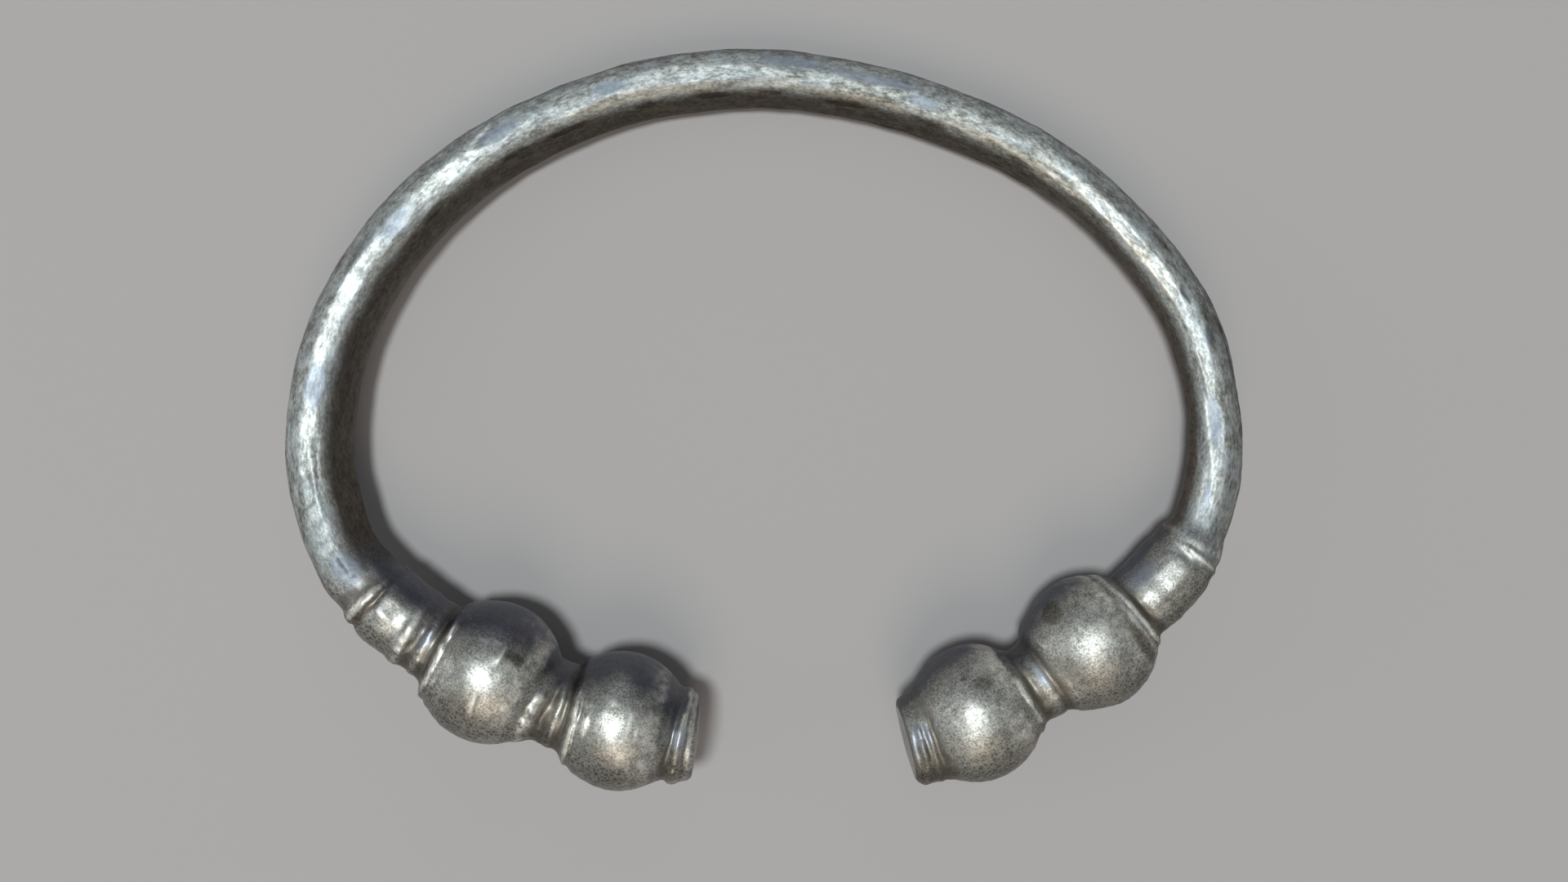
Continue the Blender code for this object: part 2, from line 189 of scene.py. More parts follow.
# Hammer facets of the bar that show, each a flat cut: place along the hoop, angle round the bar, half
# length, depth
FACETS = {
    "before left ring 1": (-3.2, 100, 1.3, 0.14),
    "left pale line": (4.5, 80, 4, 0.04),
    "left streak low": (9.5, 80, 2.4, 0.06),
    "left blue": (12, 84, 1.7, 0.07),
    "left streak middle": (18.5, 81, 6, 0.07),
    "left blue high": (25.6, 84, 1.9, 0.07),
    "left streak high": (30.4, 86, 3.4, 0.07),
    "creased": (35.6, 72, 2.1, 0.12),
    "left of back": (41, 92, 2.6, 0.05),
    "blue left of back": (44.6, 76, 2, 0.09),
    "back": (51, 84, 4.5, 0.05),
    "blue back": (59, 66, 3.2, 0.08),
    "blue right of back": (64.5, 74, 3.2, 0.06),
    "low blue right of back": (68.6, 95, 1.7, 0.06),
    "beige 1": (66, 117, 1.4, 0.07),
    "beige 2": (71.5, 119, 1.5, 0.08),
    "beige 3": (75.5, 114, 1.5, 0.08),
    "beige 4": (80.3, 117, 1.3, 0.08),
    "right streak high": (84.5, 103, 3.6, 0.06),
    "right streak": (91, 108, 5, 0.08),
    "right streak low": (99, 105, 3.6, 0.07),
    "right blue": (104.6, 109, 2.4, 0.11),
    "right blue low": (110.4, 112, 2.4, 0.07),
}
# More of them all over the hoop, seeded, with half lengths and depths between these
FACET_SEED = 11
FACET_COUNT = 150
FACET_HALF_LENGTHS = (1.2, 3.6)
FACET_DEPTHS = (0.015, 0.06)
FACET_SHARPNESS = 0.012 * MM
# A facet is cut out to this share of its half length, and round the bar by this many radians each way
FACET_REACH = 1.2
FACET_REACH_AROUND = 0.9

# Relief all over the surface, in waves: streaks along the bar, lumps and grains. Grains stand up to twice as
# high on the lower outer side. Ragged waves break up the marks and the pits.
STREAK_SIZE = (6.0 * MM, 0.9 * MM, 0.9 * MM)
STREAK_HEIGHT = 0.010 * MM
STREAKS_ON_ENDS = 0.25
STREAKS_WORN_AT_SHOULDER = 0.8
SHOULDER_PLACE = -2.5
SHOULDER_HALF_LENGTH = 2.5
LUMP_SIZE = 2.6 * MM
LUMP_HEIGHT = 0.014 * MM
GRAIN_SIZE = 0.70 * MM
GRAIN_HEIGHT = 0.006 * MM
GRAIN_WAVES = 60
GRAINS_WORN_ON_HOOP = 0.4
GRAINY_BELOW = 75.0
GRAINY_WIDTH = 50.0
RAGGED_SIZE = 0.55 * MM
STREAK_SEED = 21
LUMP_SEED = 22
GRAIN_SEED = 23
RAGGED_SEED = 31
RELIEF_FADE_AT_ENDS = 0.6 * MM
# Smooth waves are between these lengths, as shares of the size given. Those round the bar have this spread.
WAVE_LENGTHS = (0.75, 1.5)
ROUND_WAVES_SPREAD = 0.9

# Scratches, creases and crisp edges: place and angle of both ends, half width, height, and how pale they
# are, or below zero, how dark
MARKS = {
    "left bead scratch": (-15.6, 86, -15.95, 60, 0.14, -0.05, 0.9),
    "left bead scratch edge": (-15.90, 84, -16.25, 60, 0.12, 0.035, -0.4),
    "left bead short scratch": (-15.95, 124, -15.9, 107, 0.14, 0.06, 0.9),
    "left bead long line": (-13.4, 118, -16, 125, 0.13, 0.04, 0.4),
    "left bead blotch edge": (-15.2, 111, -16.4, 114, 0.14, 0.06, 0.6),
    "left bead blotch edge on": (-16.4, 114, -17.6, 111, 0.14, 0.06, 0.6),
    "left bead blotch side": (-17.6, 111, -18, 128, 0.14, 0.05, 0.4),
    "left second bead line": (-24.3, 118, -26, 112, 0.13, 0.05, 0.6),
    "right bead line": (135.4, 139, 136.5, 129, 0.15, -0.07, -0.9),
    "crease before left ring": (-0.4, 84, -2.8, 91, 0.17, -0.025, -0.7),
    "crease before left ring on": (-2.8, 91, -3.5, 104, 0.17, -0.015, -0.7),
    "left ring 1 crest": (-4.95, 112, -4.85, 48, 0.28, 0, 0.30),
    "left ring 2 crest": (-8.95, 116, -8.90, 50, 0.22, 0, 0.35),
    "left ring 3 crest": (-11.70, 130, -11.75, 55, 0.15, 0.02, 0.60),
    "left ring 4 crest": (-19.95, 122, -19.90, 58, 0.20, 0, 0.35),
    "left ring 5 crest": (-22.80, 114, -22.80, 46, 0.15, 0, 0.50),
    "right ring 1 crest": (115.2, 108, 115.3, 40, 0.16, 0, 0.40),
    "right ring 3 crest": (121.60, 130, 121.80, 60, 0.17, 0.03, 0.65),
    "right ring 3 second crest": (122.25, 128, 122.35, 80, 0.13, 0.02, 0.45),
    "right ring 5 crest": (132.15, 118, 132.25, 50, 0.15, 0, 0.50),
    "left thin line": (3, 95, 7, 97, 0.12, -0.04, -0.6),
    "diagonal crease": (33.2, 70, 35.8, 50, 0.15, 0.06, 0.8),
    "diagonal crease groove": (33.6, 72, 36.2, 53, 0.15, -0.05, -0.7),
    "cream patch 1": (70.2, 116, 72.6, 121, 0.20, 0.03, 0.45),
    "cream patch 2": (74.6, 112, 77.2, 118, 0.24, 0.04, 0.60),
    "cream patch 3": (78.8, 116, 81.2, 123, 0.20, 0.04, 0.55),
    "cream patch 4": (82, 108, 84.2, 113, 0.18, 0.03, 0.40),
    "under cream patch 1": (70, 123, 72.8, 128, 0.20, -0.03, -0.55),
    "under cream patch 2": (74.4, 121, 77.4, 126, 0.20, -0.03, -0.60),
    "under cream patch 3": (78.6, 124, 81.4, 130, 0.20, -0.03, -0.60),
    "right edge 1": (84, 116, 90, 119, 0.16, 0.05, 0.3),
    "right edge 2": (90, 119, 96, 113, 0.16, 0.06, 0.4),
    "right edge 3": (96, 113, 103, 116, 0.16, 0.05, 0.3),
    "right low edge": (102, 126, 106, 122, 0.16, 0.06, 0.7),
    "right low edge on": (106, 122, 110, 109, 0.16, 0.06, 0.7),
    "right outer crease": (92, 30, 99, 24, 0.16, -0.06, -0.8),
    "right outer crease on": (99, 24, 106, 30, 0.16, -0.06, -0.8),
    "right outer crease inner": (95, 42, 104, 38, 0.14, -0.045, -0.6),
}
# Ragged waves raise a mark up to its most, and its height falls off to its ends by the power of its taper.
# It is worked out up to its margin past them, in millimetres.
RAGGEDNESS_OF_MARKS = 0.45
MOST_OF_MARKS = 1.2
TAPER_OF_MARKS = 4
MARGIN_OF_MARKS = 1.0
# Pits and worn hollows: place, angle, half length, half width in degrees, depth, share of ragged edge
PITS = {
    "left second bead pit": (-27.44, 94, 0.26, 3, 0.070, 0),
    "left bead blotch": (-16.7, 122, 1.25, 9, 0.045, 0.7),
    "right bead blotch": (126.7, 148, 0.9, 12, 0.040, 0.5),
    "right second bead smudge": (138.2, 109, 0.6, 7, 0.040, 0.5),
    "notch of the right side": (105.4, 46, 0.5, 9, 0.070, 0.2),
    "dent of the right streak": (94.2, 84, 0.9, 9, 0.060, 0.2),
}
RAGGEDNESS_OF_PITS = 0.5
EDGE_OF_PITS = 0.6

# Dull stretches of the bar: at each place along the hoop, how dull its surface is
DULL_PLACES = {
    -5: 0, -3: 1, 4: 0.9, 8: 0.35, 12: 0.55, 14: 0.20, 23: 0.20, 26: 0.50, 28: 0.25, 32: 0.25, 35: 0.9,
    55: 0.9, 59: 1, 79: 0.9, 82: 0.1, 92: 0.2, 95: 0.6, 98: 0.5, 101: 0.6, 103: 0.8, 106: 0.8,
    108: 0.6, 113: 0.4,
}

# The wrist side is painted darker: painted shade, partly tarnish. At each place along the bar, the angle
# round it at which its shade starts.
SHADE_STARTS = {
    -32: 96, -28.8: 80, -25.5: 106, -22: 90, -19: 98, -4: 86, 0: 83, 10: 89, 30: 93, 44: 98, 60: 96,
    76: 106, 88: 113, 100: 114, 115: 116, 129: 120, 131: 104, 133: 120, 142: 114,
}
SHADE_WIDTH_OF_HOOP = 52.0
SHADE_WIDTH_OF_ENDS = 56.0
SHADE_END = 300.0
SHADE_END_WIDTH = 60.0
# The outer side is painted darker, as painted shade, from this share of the bar's half width on. On the left
# of the hoop a painted sheen takes most of that painted shade away.
OUTER_START_OF_HOOP = 0.60
OUTER_START_OF_ENDS = 0.38
OUTER_WIDTH = 0.38
LEFT_SHEEN = 0.9
LEFT_SHEEN_PLACE = 14.0
LEFT_SHEEN_HALF_LENGTH = 16.0
# The outer side of the ends is crackled round this angle
COARSE_ANGLE = 10.0
COARSE_START = 0.35
COARSE_WIDTH = 0.45
# A hollow is measured against the average over this distance, and is full at this depth
HOLLOW_REACH = 1.0 * MM
HOLLOW_DEPTH = 0.30 * MM
# The average is worked out at this step, out to this many times the distance
BLUR_STEP = 0.1 * MM
BLUR_REACH = 3.0
# The hoop's looks and relief pass into those of the ends over these distances
LOOKS_PASSAGE = 5.0 * MM
RELIEF_PASSAGE = 4.0 * MM
# The silver's pattern is drawn out along the hoop by this share
LOOKS_STRETCHED_ON_HOOP = 0.5

# Patches of the surface: place along the hoop, angle round the bar, half length, half width in degrees
PATCHES = {
    # Polished patches, painted with a blue reflection
    "polish": (
        (-2.4, 92, 1.8, 27), (12, 86, 1.9, 20), (25.6, 82, 2, 18), (35.8, 72, 2, 18),
        (44.6, 76, 1.9, 16), (59, 62, 3, 12), (65, 72, 4, 11), (68.8, 92, 1.4, 14),
        (94.2, 86, 0.9, 10), (98, 80, 0.9, 14), (104.4, 108, 2.4, 17), (110.6, 112, 1.6, 10),
        (-30.8, 98, 1, 20), (-10.3, 98, 0.7, 18), (119.2, 132, 1.8, 20), (130.3, 106, 0.9, 20),
        (140.9, 102, 1.2, 22),
    ),
    # Beige: partly cream deposit, partly a painted warm reflection of the front light
    "beige": (
        (47, 110, 9, 13), (62, 118, 6, 12), (78, 121, 8, 11), (66, 116, 1.6, 9), (71.5, 118, 1.5, 8),
        (75.5, 113, 1.5, 8), (80.3, 116, 1.5, 7), (90, 117, 6, 9), (-16, 66, 2.5, 16),
        (-26, 68, 2, 12), (118, 68, 1.8, 14), (126.8, 72, 2, 16), (129.8, 75, 1, 16),
        (136.6, 66, 2, 14),
    ),
    "tarnish": (
        (90, 60, 1, 8), (97.6, 46, 1.2, 14), (94.2, 84, 1, 9), (98, 78, 1.2, 11), (96.4, 62, 1.3, 12),
        (-21, 60, 0.5, 90), (-5.5, 70, 0.4, 60), (-9.8, 70, 0.5, 60), (-30.6, 56, 1, 34),
        (140.6, 56, 1.4, 38), (121, 90, 0.5, 60), (122.8, 66, 0.55, 30), (131.3, 90, 0.6, 60),
        (126.8, 146, 0.9, 13), (-16.9, 119, 1.2, 6), (135, 122, 0.9, 7), (36, 128, 1.2, 8),
        (40.5, 134, 1.5, 8), (47, 136, 1.2, 8), (52.5, 134, 1.4, 9), (57, 128, 1, 8), (63, 136, 2, 8),
        (70, 131, 1.5, 8), (77.5, 130, 1.5, 8), (84, 130, 2, 8), (28, 122, 1.6, 9),
    ),
}

# Noises of the silver: scale in waves for each millimetre, detail, roughness, and the share of that scale
# that it has along the bar
NOISES = {
    "fine": (5.6, 3, 0.68, 1),
    "middling": (2.2, 3, 0.62, 1),
    "mottle": (1.15, 4, 0.62, 1),
    "strands": (1.7, 4, 0.60, 0.28),
    "fibres": (4.2, 3, 0.68, 0.40),
    "broad": (0.42, 3, 0.50, 1),
}
NOISE_MIDDLE = 0.5
# Nets of thin lines: scale, unevenness and width of the lines. The unevenness is a broader noise.
NETS = {"net": (5.4, 0.26, 0.30), "crackle": (2.7, 0.40, 0.24)}
UNEVENNESS_SCALE = 0.6
UNEVENNESS_DETAIL = 2.0
CRACKLE_MIDDLE = 0.40
# The sheen has a noise of its own, from another part of the pattern
SHEEN_NOISE = (0.75, 4.0, 0.65)
SHEEN_SHIFT = (7.0, 3.0, 5.0)
RAGGEDNESS = 1.2
# How much each noise counts: its middle value, and its weight on the ends and on the hoop
TONE_WEIGHTS = {
    "net": (0.42, 0.21, 0.06),
    "fine": (0.5, 1.50, 1.30),
    "middling": (0.5, 0.45, 1.00),
    "mottle": (0.5, 0.35, 0.85),
    "strands": (0.5, 0.25, 0.25),
    "fibres": (0.5, 0.15, 0.50),
    "broad": (0.5, 0.35, 0.20),
    "crackle": (0.0, 0.45, 0.10),
}
SHADE_EDGE_WEIGHTS = {"mottle": (0.5, 0.5, 1.1), "strands": (0.5, 0.6, 0.5), "middling": (0.5, 0.2, 0.5)}
# Sums of values, each times its weight. Some start from a number. One named "shown" is a share.
SUMS = {
    "crest": {"hollow": -1, "ragged": 0.4},
    "crest shown": {"start": 0.85, "tarnish": -0.8},
    "side": {"start": -0.5, "shade": 1, "shade edge": 1},
    "side shown": {"start": 1, "crest": -0.65},
    "smooth patch": {"polish": 1, "ragged": 1},
    "smooth hollow": {"hollow": 1, "ragged": 0.35},
    "smooth side shown": {"start": 1, "hoop": -0.6},
    "gloss": {"sheen": 1, "middling": 0.35, "polish": 0.10},
    "painted sheen shown": {"start": 0.08, "hoop": 0.20},
    "brown": {"broad": 1, "hollow": 0.30, "polish": -0.30, "shade": -0.15},
    "warm": {"beige": 1, "ragged": 0.8, "broad": 0.6},
    "warm shown": {"start": 0.55, "hoop": 0.45},
    "spots": {"tarnish": 1, "ragged": 1},
    "bump": {"crackle": 0.5, "net": 0.10, "fine": 0.30, "middling": 0.6, "mottle": 0.7, "strands": 0.5},
    "bump shown": {"start": 1, "smooth": -0.8},
    "metallic": {"start": 1, "pale": -0.12, "crest": -0.62},
    "roughness": {"speckle roughness": 1, "gloss": -0.03, "smooth": 0.03, "dull": 0.17, "hoop": 0.045},
    "coat": {"start": 0.55, "dull": -0.45},
}
POLISH_SHOWN = 0.70
HOLLOW_TINT_SHOWN = 0.85
BUMP_STRENGTH = 0.20
BUMP_DISTANCE = 0.05 * MM
# Values at which each part of the silver's looks sets in, and at which it is full
STEPS = {
    "side": (0.02, 0.95),
    "side begins": (0, 0.35),
    "smooth patch": (0.25, 0.75),
    "smooth hollow": (0.10, 0.50),
    "smooth side": (0.60, 1),
    "crest": (0.18, 0.60),
    "pale crest": (0.15, 0.70),
    "pale": (0.10, 1.02),
    "gloss": (0.58, 0.80),
    "brown": (0.35, 0.65),
    "warm": (0.40, 1.10),
    "spots": (0.20, 0.70),
    "deep hollow": (0.15, 0.90),
}
ROUGHNESS_WHERE_DARK = 0.485
ROUGHNESS_WHERE_PALE = 0.425
COAT_ROUGHNESS = 0.30

# Colours of the silver's surface
PALE_SILVER = (0.765, 0.765, 0.71, 1.0)
# Painted bluish sheen of the key light, on glossy patches
PAINTED_BLUE_SHEEN = (0.60, 0.66, 0.71, 1.0)
PALE_LINE = (0.88, 0.86, 0.80, 1.0)
DARK_LINE_TINT = (0.30, 0.30, 0.30, 1.0)
DARK_TARNISH = (0.225, 0.218, 0.196, 1.0)
# Colours of smooth patches and hollows: the blue one is a painted reflection of the cool surroundings, the
# other a brownish grey
BLUE_REFLECTION_ON_POLISH = (0.36, 0.395, 0.46, 1.0)
GREY_POLISH = (0.43, 0.41, 0.37, 1.0)
CREST_LOW = (0.44, 0.42, 0.375, 1.0)
CREST_HIGH = (0.88, 0.85, 0.77, 1.0)
# Partly cream deposit, partly a painted warm glow of the front light
BEIGE_AND_WARM_GLOW_TINT = (1.0, 0.92, 0.83, 1.0)
HOLLOW_TINT = (0.46, 0.425, 0.375, 1.0)
TINT_OF_ENDS = (1.0, 0.97, 0.945, 1.0)
TINT_OF_HOOP = (0.965, 0.985, 0.995, 1.0)
# Painted shade of the outer side
OUTER_SHADE_TINT = (0.52, 0.50, 0.475, 1.0)
# Painted shade of the wrist side, partly tarnish, on the ends and on the hoop
WRIST_SHADE_OF_ENDS = (0.29, 0.29, 0.33, 1.0)
WRIST_SHADE_OF_HOOP = (0.28, 0.225, 0.185, 1.0)
SPECULAR_TINT = (0.5, 0.5, 0.5, 1.0)

# Camera, as distances and angles measured from the photograph. It stands over the bracelet, a little to its
# left and towards its back, square to the bracelet's own plane.
CAMERA_TARGET = Vector((0.98, -1.71, 4.5)) * MM
CAMERA_DISTANCE = 119.6 * MM
CAMERA_TO_LEFT = 0.0436
CAMERA_TO_BACK = 0.0716
CAMERA_ROLL = -0.0075
CAMERA_LENS = 35.625
CAMERA_CLIP_START = 0.005

# Round soft lights: direction from the bracelet, distance, size, power and colour
LIGHTS = {
    "key": ((-0.17, 0.05, 0.983), 1.5, 0.28, 13.5, (0.86, 0.955, 1.0)),
    "warm_front": ((-0.05, -0.60, 0.80), 1.2, 0.80, 3.0, (1.0, 0.91, 0.81)),
    "cool_back": ((0.05, 0.90, 0.42), 1.2, 0.90, 0.6, (0.74, 0.84, 1.0)),
    "left": ((-0.95, 0.05, 0.30), 1.2, 0.70, 1.3, (0.92, 0.96, 1.0)),
}
SURROUNDINGS_COLOUR = (0.92, 0.96, 1.0, 1.0)
SURROUNDINGS_STRENGTH = 0.145
FLOOR_REACH = 3.0
FLOOR_COLOUR = (0.47, 0.435, 0.42, 1.0)
FLOOR_ROUGHNESS = 0.85


def smoothstep(x):
    x = np.clip(x, 0.0, 1.0)
    return x * x * (3.0 - 2.0 * x)


def level_steps(u, places, values):
    """Takes each value at its place, level there, with an S-shaped passage from one to the next."""
    out = np.full_like(u, values[0])
    for near, far, low, high in zip(places, places[1:], values, values[1:]):
        out = np.where(u > near, low + (high - low) * smoothstep((u - near) / (far - near)), out)
    return out


def soft_max(a, b, blend):
    share = np.clip(0.5 + 0.5 * (a - b) / blend, 0.0, 1.0)
    return b * (1.0 - share) + a * share + blend * share * (1.0 - share)


def risen(places, slopes):
    """How far a value has risen at each place from the first, from its slope at each."""
    return np.concatenate([[0.0], np.cumsum(np.diff(places) * (slopes[1:] + slopes[:-1]) / 2)])


def along_bead(radius, seat):
    """Distance from a bead's middle to where its surface has the radius of the seat."""
    return math.sqrt(max(radius * radius - seat * seat, 0.0))


def places_of(size):
    """Distance of each feature from the hoop's end, along the terminal's axis."""
    at = {"ring_1": size["shoulder_length"]}
    at["barrel"] = at["ring_1"] + size["barrel_length"] / 2
    at["ring_2"] = at["ring_1"] + size["barrel_length"]
    at["cove"] = at["ring_2"] + size["cove_length"] / 2
    at["ring_3"] = at["ring_2"] + size["cove_length"]
    at["bead_1"] = at["ring_3"] + along_bead(size["bead_1_radius"], size["ring_3_seat"])
    at["ring_4"] = at["bead_1"] + along_bead(size["bead_1_radius"], size["ring_4_seat"])
    at["neck"] = at["ring_4"] + size["neck_length"] / 2
    at["ring_5"] = at["ring_4"] + size["neck_length"]
    at["bead_2"] = at["ring_5"] + along_bead(size["bead_2_radius"], size["ring_5_seat"])
    at["bead_2_edge"] = at["bead_2"] + along_bead(size["bead_2_radius"], size["collar_seat"])
    at["collar"] = at["bead_2_edge"] + size["end_cove_length"]
    at["end"] = at["collar"] + size["collar_length"]
    return at


def hoop_axis(angles):
    """Points and direction of the hoop's axis, left to right, at angles from the right on the oval."""
    reach = np.where(np.cos(angles) < 0, REACH_LEFT, REACH_RIGHT)
    rise = np.where(np.sin(angles) > 0, RISE_TO_BACK, DROP_TO_FRONT)
    heading = np.arctan2(-rise * np.cos(angles), reach * np.sin(angles))
    return reach * np.cos(angles), rise * np.sin(angles), heading


def bar_radius(angles):
    """Radius of the hoop's bar at angles on the oval, which fall from left to right."""
    passed = [math.radians(LEFT_END_ANGLE - angle) for angle in BAR_RADII]
    return level_steps(math.radians(LEFT_END_ANGLE) - angles, passed, list(BAR_RADII.values()))


def terminals():
    """Of the left terminal and the right one: start, direction outwards, bend, sizes, rings, first radius."""
    left_x, left_y, left_heading = hoop_axis(math.radians(LEFT_END_ANGLE))
    right_x, right_y, right_heading = hoop_axis(math.radians(RIGHT_END_ANGLE))
    return (
        ((left_x, left_y), left_heading + math.pi, 1, LEFT, LEFT_RINGS, BAR_RADII[LEFT_END_ANGLE]),
        ((right_x, right_y), right_heading, -1, RIGHT, RIGHT_RINGS, BAR_RADII[RIGHT_END_ANGLE]),
    )


def terminal_axis(start, heading, bend, size, u):
    """Points and directions at distances u along a terminal, which goes on bending."""
    at = places_of(size)
    bends = ("ring_1", "ring_3", "ring_4", "ring_5", "collar", "end")
    turned = np.cumsum([0.0] + [size["turn_to_" + name] for name in bends])
    fine = np.linspace(0.0, at["end"], AXIS_POINTS)
    headings = heading + bend * np.radians(np.interp(fine, [0.0] + [at[name] for name in bends], turned))
    x = start[0] + risen(fine, np.cos(headings))
    y = start[1] + risen(fine, np.sin(headings))
    return np.interp(u, fine, x), np.interp(u, fine, y), np.interp(u, fine, headings)


def terminal_radii(u, size, rings, hoop_end_radius, around):
    """Radius at distances u along the terminal, a column for each angle. Angle 0 is away from the wrist."""
    at = places_of(size)
    names = ("ring_1", "barrel", "cove", "neck", "collar", "end")
    places = [0.0] + [at[name] for name in names]
    values = [hoop_end_radius] + [size[name + "_radius"] for name in names]
    core = level_steps(u, places, values)
    for bead in ("bead_1", "bead_2"):
        reach = size[bead + "_radius"] ** 2 - (u - at[bead]) ** 2
        core = soft_max(core, np.sqrt(np.maximum(reach, 0.0)), BLEND_OF_BEADS)
    radii = np.repeat(core[:, None], len(around), axis=1)
    outwards = np.cos(around)[None, :]
    faded = smoothstep((outwards - FADE_NEAR_WRIST) / (FADE_AWAY_FROM_WRIST - FADE_NEAR_WRIST))
    for number, (place, height, height_at_wrist, half_width, lean, power) in enumerate(rings.values()):
        wander = waves_round(around, number, BROAD_WANDER_OF_RINGS, FINE_WANDER_OF_RINGS)
        fine_wear = FINE_WEAR_OF_RINGS if height > 0.0 else FINE_WEAR_OF_GROOVES
        worn = 1.0 + waves_round(around, number, BROAD_WEAR_OF_RINGS, fine_wear)
        middle = place * MM + wander + math.tan(math.radians(lean)) * core[:, None] * outwards
        rise = (height_at_wrist + (height - height_at_wrist) * faded) * worn * MM
        furthest = smoothstep((outwards - OUTER_WEAR_START) / (1.0 - OUTER_WEAR_START))
        rise = rise * (1.0 - OUTER_WEAR_OF_RINGS * furthest)
        away = np.abs(u[:, None] - middle) / (half_width * MM)
        radii = radii + rise * np.exp(-(away ** power))
    return radii


def round_noise(around, seed, waves):
    """Smooth values of about -1 to 1 round the bar, with about that many waves in a turn."""
    random = np.random.default_rng(seed)
    out = np.zeros_like(around)
    for count in range(1, int(waves * 2) + 1):
        strength = random.normal() * math.exp(-((count - waves) / waves) ** 2)
        out = out + strength * np.cos(count * around + random.uniform(0.0, 2 * math.pi))
    return out / (math.sqrt(waves) * ROUND_WAVES_SPREAD)


def waves_round(around, number, *kinds):
    """Sum of the kinds of waves round one ring, each from its first seed, number of waves and size."""
    return sum(size * round_noise(around, seed + number, waves) for seed, waves, size in kinds)


def terminal_sections(start, heading, bend, size, rings, hoop_end_radius, around):
    """Sections from the hoop's end to the end face: x, y, outward direction, radii and distance outwards."""
    straight = places_of(size)["end"] - END_EDGE_ROUND
    count = math.ceil(straight / TERMINAL_SECTION_STEP)
    u = np.linspace(0.0, straight, count + 1)[1:]
    inset = np.zeros_like(u)
    steps = np.radians(np.linspace(0.0, 90.0, END_EDGE_SECTIONS + 1)[1:])
    u = np.concatenate([u, straight + END_EDGE_ROUND * np.sin(steps)])
    inset = np.concatenate([inset, END_EDGE_ROUND * (1.0 - np.cos(steps))])
    x, y, headings = terminal_axis(start, heading, bend, size, u)
    radii = terminal_radii(u, size, rings, hoop_end_radius, around) - inset[:, None]
    return x, y, headings, radii, u


def all_sections(around):
    """Every section from the left end face to the right one, and the hoop's length.

    Each section has its x, y, direction, radii and place along the bar.
    """
    angles = np.linspace(math.radians(LEFT_END_ANGLE), math.radians(RIGHT_END_ANGLE), HOOP_SECTION_COUNT)
    hoop_x, hoop_y, hoop_heading = hoop_axis(angles)
    hoop_radii = np.repeat(bar_radius(angles)[:, None], len(around), axis=1)
    along = np.concatenate([[0.0], np.cumsum(np.hypot(np.diff(hoop_x), np.diff(hoop_y)))])
    left, right = [terminal_sections(*terminal, around) for terminal in terminals()]
    x = np.concatenate([left[0][::-1], hoop_x, right[0]])
    y = np.concatenate([left[1][::-1], hoop_y, right[1]])
    heading = np.concatenate([left[2][::-1] - math.pi, hoop_heading, right[2]])
    radii = np.concatenate([left[3][::-1], hoop_radii, right[3]])
    place = np.concatenate([-left[4][::-1], along, along[-1] + right[4]])
    return x, y, heading, radii, place, along[-1]


def bead_balls(start, heading, bend, size):
    """Middle and radius of a terminal's two beads, in the bracelet's own plane."""
    at = places_of(size)
    u = np.array([at["bead_1"], at["bead_2"]])
    x, y, headings = terminal_axis(start, heading, bend, size, u)
    return [(x[i], y[i], size[f"bead_{i + 1}_radius"]) for i in range(2)]


def resting_plane():
    """Downward direction and reach of the plane that a bead on each side and the back of the hoop touch."""
    left_beads, right_beads = [bead_balls(*terminal[:4]) for terminal in terminals()]
    back = (0.0, RISE_TO_BACK, BAR_RADII[BACK_ANGLE])
    balls = left_beads + right_beads + [back]
    best = None
    for left in left_beads:
        for right in right_beads:
            touching = np.array([left, right, back])
            rows = np.column_stack([touching[:, 0], touching[:, 1], -np.ones(3)])
            across, along, reach = np.linalg.solve(rows, -touching[:, 2])
            overshoot = max(across * x + along * y + radius - reach for x, y, radius in balls)
            if best is None or overshoot < best[0]:
                best = (overshoot, across, along, reach)
    overshoot, across, along, reach = best
    down = np.array([across, along, -math.sqrt(1.0 - across * across - along * along)])
    return down, reach


def laid_down(points):
    """Turns the bracelet until it rests on the table, sunk in by the depth of the wear."""
    down, reach = resting_plane()
    up = -down
    right = np.cross([0.0, 1.0, 0.0], up)
    right = right / np.linalg.norm(right)
    back = np.cross(up, right)
    turned = points @ np.array([right, back, up]).T
    turned[:, 2] += reach - WEAR_DEPTH
    return turned


def bump(distance, half_width):
    return np.exp(-((distance / half_width) ** 2))


def smooth_noise(coords, seed, waves=36):
    """Smooth values with a spread of about 1, from waves about one unit long in the given coordinates."""
    random = np.random.default_rng(seed)
    out = np.zeros(coords.shape[:-1])
    for number in range(waves):
        direction = random.normal(size=3)
        direction = direction / np.linalg.norm(direction)
        length = random.uniform(*WAVE_LENGTHS)
        out = out + np.cos(coords @ direction * (2 * math.pi / length) + random.uniform(0.0, 2 * math.pi))
    return out * math.sqrt(2.0 / waves)


def all_facets(hoop_length):
    """The named facets and the seeded ones."""
    random = np.random.default_rng(FACET_SEED)
    facets = list(FACETS.values())
    for number in range(FACET_COUNT):
        middle = random.uniform(-1.0, hoop_length / MM + 1.0)
        angle = random.uniform(0.0, 360.0)
        facets.append((middle, angle, random.uniform(*FACET_HALF_LENGTHS), random.uniform(*FACET_DEPTHS)))
    return facets


def turn_from(around, angle):
    """How far each angle round the bar is from the given one in degrees, the short way, in radians."""
    return np.angle(np.exp(1j * (around - math.radians(angle))))


def share_on_hoop(place, hoop_length, passage):
    """Column of 1 on the hoop, passing to 0 on the ends over the given distance."""
    off_hoop = np.maximum(np.maximum(-place, place - hoop_length), 0.0)
    return 1.0 - smoothstep(off_hoop[:, None] / passage)


def looked_up(table, at):
    """Values at places along the bar, in millimetres, from a table of places and values."""
    return np.interp(at, list(table), list(table.values()))


